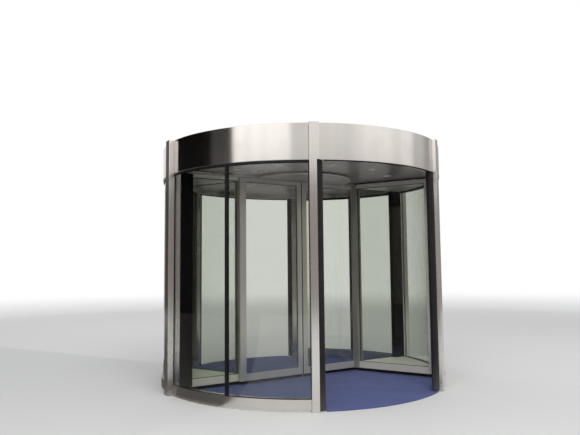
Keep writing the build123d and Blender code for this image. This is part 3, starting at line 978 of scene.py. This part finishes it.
class DOOR_OT_side_gaskets(DoorOperator):
    """Model the gaskets along the curved side panes"""

    bl_idname = "door.side_gaskets"
    bl_label = "Side glass gaskets"

    def execute(self, context):
        spans = (
            (WALL_START, MULLION_BEARING - MULLION_HALF),
            (MULLION_BEARING + MULLION_HALF, WALL_END),
        )
        levels = (PLINTH_TOP, HEAD_RAIL_BOTTOM)
        rear = merged(glazing_strips(PANE_OUTER, PANE_INNER, self.sizes, spans, *levels))
        right = doubled(rear, turn_z(-WALL_START - WALL_END))
        settle_sides(right, "side_gaskets_", self.gasket_rubber, "drum")
        return {"FINISHED"}


class DOOR_OT_edge_trim(DoorOperator):
    """Model black strips under the fascia over both doorways, painted shade of the gap there, and
    the rotor head's rim with a painted highlight
    """

    bl_idname = "door.edge_trim"
    bl_label = "Fascia shade strips and rim"

    def execute(self, context):
        half = pi / 2 - POST_BEARING - STRIP_SPAN
        levels = (CLEAR_HEIGHT - FASCIA_SHADE_HEIGHT, CLEAR_HEIGHT)
        front = arc_bar(FASCIA_SHADE_RADIUS, FASCIA_SHADE_DEPTH, *levels, -pi / 2 - half, 2 * half, 24)
        seals = doubled(front, turn_z(pi))
        # Black rubber strips where the gap under the fascia lies in shade: painted shade
        settle(seals, "fascia_shade_strips", self.gasket_rubber, "drum")
        skip = TRACK_HALF / HUB_RADIUS
        levels = (HUB_BOTTOM + RIM_LOW, HUB_BOTTOM + RIM_HIGH)
        rim = arc_bar(HUB_RADIUS + RIM_DEPTH / 2, RIM_DEPTH, *levels, skip, pi - 2 * skip, 60)
        soften(rim, RIM_ROUND)
        # The rim is pale, hardly metallic steel though it sits in shade: a painted highlight for
        # the light line on its edge
        steel = self.steel("Rim with painted highlight", self.colours.lit_base_rail, True, 0.3, 0.2, 0.1)
        settle(doubled(rim, turn_z(pi)), "hub_rim", steel, "rotor")
        return {"FINISHED"}


class DOOR_OT_joint_seals(DoorOperator):
    """Model the rubber seals in the shadow joints of the facade posts"""

    bl_idname = "door.joint_seals"
    bl_label = "Joint seals"

    def execute(self, context):
        x_low, x_high, y_low, y_high = JOINT_PLAN
        low = Vector((x_low, y_low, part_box("facade_posts")[0].z + JOINT_FOOT))
        high = Vector((x_high, y_high, CANOPY_TOP - JOINT_HEAD))
        pair = doubled(lipped_bar(low, high), shift(x_low + x_high) @ turn_z(pi))
        seals = doubled(pair, turn_z(pi))
        settle(seals, "facade_joint_seals", self.gasket_rubber, "drum")
        return {"FINISHED"}


class DOOR_OT_post_screws(DoorOperator):
    """Model the screw heads near the top of the portal posts"""

    bl_idname = "door.post_screws"
    bl_label = "Post screws"

    def execute(self, context):
        first = self.screw_head(self.sizes.screw_radius)
        mirrored = -2 * POST_BEARING
        heads = []
        for turn, side in ((0, 1), (pi, 1), (pi + mirrored, -1), (mirrored, -1)):
            for level in SCREW_LEVELS:
                spot = shift(POST_FACE, side * SCREW_ASIDE, level)
                heads.append(own_copy(first, turn_z(POST_BEARING + turn) @ spot))
        bpy.data.objects.remove(first)
        steel = self.steel("Screw steel", self.colours.steel, False, 0.2)
        settle(merged(heads), "post_screws", steel, "drum")
        return {"FINISHED"}

    def screw_head(self, radius):
        """Domed head with a socket, facing along X."""
        head = add_mesh(
            bpy.ops.mesh.primitive_cylinder_add, vertices=18, radius=radius, depth=SCREW_HEIGHT,
            location=(SCREW_HEIGHT / 2, 0, 0), rotation=(0, pi / 2, 0),
        )
        edit_faces()
        choose_faces(head, lambda face: face.normal.x > 0.9)
        bpy.ops.mesh.bevel(offset=SCREW_DOME, segments=3, affect="EDGES")
        choose_faces(head, lambda face: face.normal.x > 0.999 and len(face.verts) > 6)
        bpy.ops.mesh.inset(thickness=radius * SOCKET_BORDER, depth=0)
        bpy.ops.mesh.inset(thickness=SOCKET_TAPER, depth=-SOCKET_DEPTH)
        leave_edit()
        return head


class DOOR_OT_bristles(DoorOperator):
    """Model the bristle tufts of the brushes under and over the wings and under the leaves"""

    bl_idname = "door.bristles"
    bl_label = "Bristle tufts"

    def execute(self, context):
        fibre = bristle_fibre("Tuft fibre", self.colours.rubber)
        low = BRUSH_BOTTOM - TUFT_DROP
        skirt = merged([self.skirt(low, RAIL_BOTTOM), self.skirt(ROTOR_TOP, BRUSH_TOP)])
        settle_sides(skirt, "wing_tufts_", fibre, "rotor")
        near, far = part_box("leaf_frame_right")
        row = self.row(low, RAIL_BOTTOM, far.x - near.x - LEAF_ROW_PLAY)
        row.data.transform(shift(near.x + LEAF_ROW_START))
        settle_sides(row, "leaf_tufts_", fibre, None)
        return {"FINISHED"}

    def tuft(self, low, high):
        """One six-sided tuft, with a border round its ends."""
        scale = (self.sizes.bristle_spacing * TUFT_SHARE, TUFT_HALF, high - low)
        kind = {"vertices": 6, "radius": 1.0, "depth": 1.0, "location": (0, 0, (low + high) / 2)}
        piece = add_mesh(bpy.ops.mesh.primitive_cylinder_add, scale, **kind)
        edit_faces()
        choose_faces(piece, lambda face: abs(face.normal.z) > 0.9)
        bpy.ops.mesh.inset(thickness=TUFT_BORDER, depth=0)
        leave_edit()
        return piece

    def row(self, low, high, length):
        """Straight row of tufts along X from the origin."""
        piece = self.tuft(low, high)
        array = piece.modifiers.new("Row", "ARRAY")
        array.use_relative_offset = False
        array.use_constant_offset = True
        array.constant_offset_displace = (self.sizes.bristle_spacing, 0, 0)
        array.count = int(length / self.sizes.bristle_spacing)
        bpy.ops.object.modifier_apply(modifier=array.name)
        return piece

    def skirt(self, low, high):
        """Tufts along the three sides of a wing."""
        step = BRUSH_INSET / sin(BRANCH_ANGLE)
        corner = VERTEX + step * cos(BRANCH_ANGLE) + CORNER_PLAY
        spine = self.row(low, high, NOSE_START - corner)
        spine.data.transform(shift(corner, -SPINE_FACE - BRUSH_INSET))
        branch = self.row(low, high, BRANCH_LENGTH - BRUSH_INSET - step)
        vertex = shift(VERTEX, -SPINE_FACE)
        branch.data.transform(vertex @ turn_z(-BRANCH_ANGLE) @ shift(step))
        return merged([spine, branch, self.curved_row(low, high)])

    def curved_row(self, low, high):
        """Tufts along the drum side, from the branch's tip to the nose."""
        radius = CASE_PANE_RADIUS + CASE_PANE / 2 - CURVE_INSET
        span = TIP_BEARING - NOSE_BEARING
        steps = int(span * radius / self.sizes.bristle_spacing)
        row = self.tuft(low, high)
        row.data.transform(turn_z(-TIP_BEARING) @ shift(radius) @ turn_z(pi / 2))
        choose(row)
        edit_faces()
        bpy.ops.mesh.spin(steps=steps, dupli=True, angle=span, center=(0, 0, 0), axis=(0, 0, -1))
        leave_edit()
        return row


class DOOR_OT_stage(DoorOperator):
    """Set up the floor, the lamps, the studio wall and the camera"""

    bl_idname = "door.stage"
    bl_label = "Studio"

    def execute(self, context):
        self.add_floor()
        self.add_world()
        self.add_lamps()
        self.add_wall()
        self.add_floor_patch()
        self.add_camera()
        context.scene.view_settings.view_transform = "Standard"
        return {"FINISHED"}

    def add_floor(self):
        """Large pale floor that runs out into the white background."""
        clear_selection()
        bpy.ops.mesh.primitive_plane_add(size=FLOOR_SIDE, location=(0, 0, FLOOR_LEVEL))
        floor = bpy.context.object
        floor.name = "studio_floor"
        material, tree, shader, place = new_material("Pale studio floor")
        tone = self.studio.floor_tone
        pale = (tone, tone, tone * 0.99, 1)
        cloud = noise(tree, place, 0.6, 3.0)
        feed(shader, {"Base Color": shades(tree, cloud, pale, 0.98, 1.02), "Roughness": 0.7})
        reach = add_node(tree, "VectorMath", {0: place}, operation="LENGTH")
        near, far = FLOOR_FADE
        fade = {"Value": reach.outputs["Value"], "From Min": near, "From Max": far}
        away = add_node(tree, "MapRange", fade, interpolation_type="SMOOTHSTEP")
        white = add_node(tree, "Emission", {"Color": WHITE, "Strength": 1.0})
        share = product(tree, seen_share(tree), away.outputs["Result"])
        mix_surface(tree, share, shader, white)
        floor.data.materials.append(material)

    def add_world(self):
        """Even light, with a plain white background for the camera, metal and glass."""
        world = bpy.data.worlds.new("Studio world")
        bpy.context.scene.world = world
        world.use_nodes = True
        tree = world.node_tree
        lit = tree.nodes["Background"]
        feed(lit, {"Color": (0.97, 0.985, 1.0, 1), "Strength": self.studio.sky_level})
        seen = add_node(tree, "Background", {"Color": WHITE, "Strength": 1.0})
        mix_surface(tree, seen_share(tree), lit, seen, "World Output")

    def add_lamps(self):
        """Square soft lamps that point at the middle of the door."""
        for name, (place, size, share) in LAMPS.items():
            turn = (LAMP_AIM - Vector(place)).to_track_quat("-Z", "Y").to_euler()
            bpy.ops.object.light_add(type="AREA", location=place, rotation=turn)
            lamp = bpy.context.object
            lamp.name = name
            lamp.data.size = size
            lamp.data.energy = self.studio.key_power * share
            lamp.visible_glossy = False

    def add_wall(self):
        """Round wall with a brightness that changes by bearing and above the break."""
        wall = add_mesh(
            bpy.ops.mesh.primitive_cylinder_add, vertices=120, radius=WALL_RADIUS,
            depth=WALL_HEIGHT, end_fill_type="NOTHING", location=(0, 0, WALL_HEIGHT / 2),
        )
        wall.name = "studio_wall"
        material, tree, shader, place = new_material(wall.name)
        x, y, z = split(tree, place)
        bearing = total(tree, maths(tree, "ARCTAN2", y, x), -radians(WALL_ZONES[0][0]))
        turn = maths(tree, "FRACT", maths(tree, "DIVIDE", bearing, 2 * pi))
        low, high = split(tree, self.zone_colours(tree, turn))[:2]
        fine = {"W": turn, "Scale": 60.0, "Detail": 3.0}
        streak = add_node(tree, "TexNoise", fine, noise_dimensions="1D")
        heights = {"Value": z, "From Min": WALL_BREAK[0], "From Max": WALL_BREAK[1]}
        rise = add_node(tree, "MapRange", heights).outputs["Result"]
        waver = spread(tree, streak.outputs["Fac"], 1.8, 2.2)
        both = {"Factor": rise, "A": low, "B": high}
        level = add_node(tree, "Mix", both, data_type="FLOAT").outputs["Result"]
        feed(shader, {
            "Base Color": (0, 0, 0, 1),
            "Specular IOR Level": 0.0,
            "Emission Strength": product(tree, level, waver),
            "Emission Color": tinted(tree, rise, (1, 0.92, 0.89, 1), (1, 0.99, 0.97, 1)),
        })
        self.only_reflected(wall, material)

    def zone_colours(self, tree, turn):
        """Ramp by bearing: red is a zone's low and green its high brightness, at half value."""
        made = add_node(tree, "ValToRGB", {0: turn})
        stops = made.color_ramp.elements
        origin = WALL_ZONES[0][0]
        following = (*WALL_ZONES[1:], (origin + 360.0, WALL_ZONES[0][1]))
        places = []
        for (first, edge, low, high), after in zip(WALL_ZONES, following):
            for spot in (first + edge, after[0] - after[1]):
                places.append(((spot - origin) / 360.0, (low / 2, high / 2, 0, 1)))
        for index, (spot, colour) in enumerate(places):
            stop = stops[index] if index < 2 else stops.new(spot)
            stop.position = spot
            stop.color = colour
        return made.outputs["Color"]

    def add_floor_patch(self):
        """Dark patch of floor at the left, that only reflections show."""
        half = PATCH_SIDE / 2
        flat = bpy.ops.mesh.primitive_plane_add
        patch = add_mesh(flat, size=PATCH_SIDE, location=(half, half, PATCH_LEVEL))
        patch.data.transform(turn_z(PATCH_BEARING))
        patch.name = "studio_floor_panel"
        material, tree, shader, place = new_material(patch.name)
        cloud = noise(tree, place, 0.5, 2.0)
        feed(shader, {
            "Base Color": tinted(tree, cloud, (0.06, 0.055, 0.05, 1), (0.12, 0.11, 0.1, 1)),
            "Roughness": 0.8,
        })
        self.only_reflected(patch, material)

    def only_reflected(self, panel, material):
        """Show a panel in nothing but the reflections of metal and of both faces of a pane."""
        tree = material.node_tree
        clear = add_node(tree, "BsdfTransparent")
        depth = add_node(tree, "LightPath").outputs["Glossy Depth"]
        share = maths(tree, "MINIMUM", depth, 1.0)
        mix_surface(tree, share, clear, tree.nodes["Principled BSDF"])
        panel.data.materials.append(material)
        panel.visible_camera = False
        panel.visible_diffuse = False
        panel.visible_shadow = False

    def add_camera(self):
        """Camera at the given place, heading, pitch and roll."""
        studio = self.studio
        tilt = Matrix.Rotation(pi / 2 + studio.pitch, 4, "X")
        turn = turn_z(-studio.heading) @ tilt @ turn_z(studio.roll)
        bpy.ops.object.camera_add(location=studio.camera_place, rotation=turn.to_euler())
        camera = bpy.context.object
        camera.name = "Door camera"
        camera.data.lens = studio.lens
        camera.data.sensor_width = 36.0
        bpy.context.scene.camera = camera


# The steps, in the order in which they run
OPERATORS = DoorOperator.__subclasses__()
SETTINGS = {"door_sizes": DoorSizes, "door_colours": DoorColours, "door_studio": DoorStudio}


class DOOR_PT_panel(bpy.types.Panel):
    """Lists the steps and their settings."""

    bl_idname = "DOOR_PT_panel"
    bl_label = "Revolving door"
    bl_space_type = "VIEW_3D"
    bl_region_type = "UI"
    bl_category = "Door"

    def draw(self, context):
        layout = self.layout
        for operator in OPERATORS:
            layout.operator(operator.bl_idname)
        for title, group in SETTINGS.items():
            column = layout.column()
            for name in group.__annotations__:
                column.prop(getattr(context.scene, title), name)


def register():
    for title, group in SETTINGS.items():
        bpy.utils.register_class(group)
        setattr(bpy.types.Scene, title, PointerProperty(type=group))
    for made in (*OPERATORS, DOOR_PT_panel):
        bpy.utils.register_class(made)


def unregister():
    for made in (DOOR_PT_panel, *reversed(OPERATORS)):
        bpy.utils.unregister_class(made)
    for title, group in reversed(SETTINGS.items()):
        delattr(bpy.types.Scene, title)
        bpy.utils.unregister_class(group)


def main():
    """Build the whole scene, step by step."""
    register()
    for operator in OPERATORS:
        group, step = operator.bl_idname.split(".")
        getattr(getattr(bpy.ops, group), step)()


if __name__ == "__main__":
    main()
